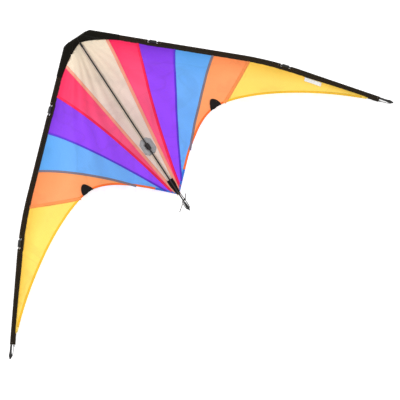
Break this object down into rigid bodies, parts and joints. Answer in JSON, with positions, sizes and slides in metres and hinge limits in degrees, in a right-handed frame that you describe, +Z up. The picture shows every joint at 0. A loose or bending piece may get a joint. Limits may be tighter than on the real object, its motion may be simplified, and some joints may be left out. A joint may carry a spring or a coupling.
{
  "type": "delta kite",
  "caption": "Two-line delta sport kite: a striped ripstop sail on a spine, curved leading edges, spreaders and standoffs, with wings that fold up about the spine.",
  "frame": {"origin": "on the floor, under the middle of the kite's span and length, with the kite lying on its front", "axes": "+X towards the right wingtip, +Y towards the nose, +Z up, out of the back of the sail"},
  "size_m": [1.1966, 0.6004, 0.0897],
  "materials": {
    "rod": "dark fibreglass rod, smooth",
    "moulded": "black moulded plastic, satin",
    "ferrule": "drawn aluminium tube",
    "webbing": "black woven webbing",
    "sleeve": "brownish black sleeve cloth",
    "cord": "black braided elastic cord",
    "patch": "clear grey reinforcing film",
    "tag": "blank white woven tag",
    "cloth_white": "cream white ripstop, translucent",
    "cloth_pink": "pink ripstop, translucent",
    "cloth_purple": "purple ripstop, translucent",
    "cloth_blue": "light blue ripstop, translucent",
    "cloth_orange": "orange ripstop, translucent",
    "cloth_yellow": "yellow ripstop, translucent"
  },
  "bodies": {
    "keel": {"spine_rod": "rod", "spine_top_cap": "moulded", "nose_webbing": "webbing", "centre_strip": "cloth_white", "centre_tee": "moulded", "centre_patch": "patch", "tail_patch": "webbing", "tail_nock": "moulded", "tail_bungee": "cord"},
    "upper_spreader": {"upper_spreader": "rod"},
    "right_wing": {"right_edge_spar_upper": "rod", "right_edge_spar_lower": "rod", "right_edge_ferrule": "ferrule", "right_nose_pocket": "webbing", "right_sleeve_nose": "sleeve", "right_sleeve_middle": "sleeve", "right_sleeve_tip": "sleeve", "right_upper_connector": "moulded", "right_lower_connector": "moulded", "right_standoff_rod": "rod", "right_standoff_cap": "moulded", "right_trailing_patch": "webbing", "right_tip_nock": "moulded", "right_tip_cord": "cord", "right_panel_white": "cloth_white", "right_panel_pink": "cloth_pink", "right_panel_purple": "cloth_purple", "right_panel_blue": "cloth_blue", "right_panel_orange": "cloth_orange", "right_panel_yellow": "cloth_yellow", "right_tag": "tag"},
    "right_spreader": {"right_lower_spreader": "rod", "right_standoff_clip": "moulded"},
    "left_wing": {"left_edge_spar_upper": "rod", "left_edge_spar_lower": "rod", "left_edge_ferrule": "ferrule", "left_nose_pocket": "webbing", "left_sleeve_nose": "sleeve", "left_sleeve_middle": "sleeve", "left_sleeve_tip": "sleeve", "left_upper_connector": "moulded", "left_lower_connector": "moulded", "left_standoff_rod": "rod", "left_standoff_cap": "moulded", "left_trailing_patch": "webbing", "left_tip_nock": "moulded", "left_tip_cord": "cord", "left_panel_white": "cloth_white", "left_panel_pink": "cloth_pink", "left_panel_purple": "cloth_purple", "left_panel_blue": "cloth_blue", "left_panel_orange": "cloth_orange", "left_panel_yellow": "cloth_yellow"},
    "left_spreader": {"left_lower_spreader": "rod", "left_standoff_clip": "moulded"}
  },
  "joints": [
    {"name": "right_wing_fold", "type": "hinge", "parent": "keel", "child": "right_wing", "pos_m": [0, 0, 0.015], "axis": [0, -1, 0], "range_deg": [0, 60]},
    {"name": "left_wing_fold", "type": "hinge", "parent": "keel", "child": "left_wing", "pos_m": [0, 0, 0.015], "axis": [0, 1, 0], "range_deg": [0, 60]},
    {"name": "right_spreader_swing", "type": "hinge", "parent": "right_wing", "child": "right_spreader", "pos_m": [0.39428, -0.06309, 0.004], "axis": [0, 0, -1], "range_deg": [0, 35]},
    {"name": "left_spreader_swing", "type": "hinge", "parent": "left_wing", "child": "left_spreader", "pos_m": [-0.39428, -0.06309, 0.004], "axis": [0, 0, 1], "range_deg": [0, 35]},
    {"name": "upper_spreader_swing", "type": "hinge", "parent": "keel", "child": "upper_spreader", "pos_m": [-0.14074, 0.17872, 0.0088], "axis": [0, 0, -1], "range_deg": [0, 35]}
  ]
}
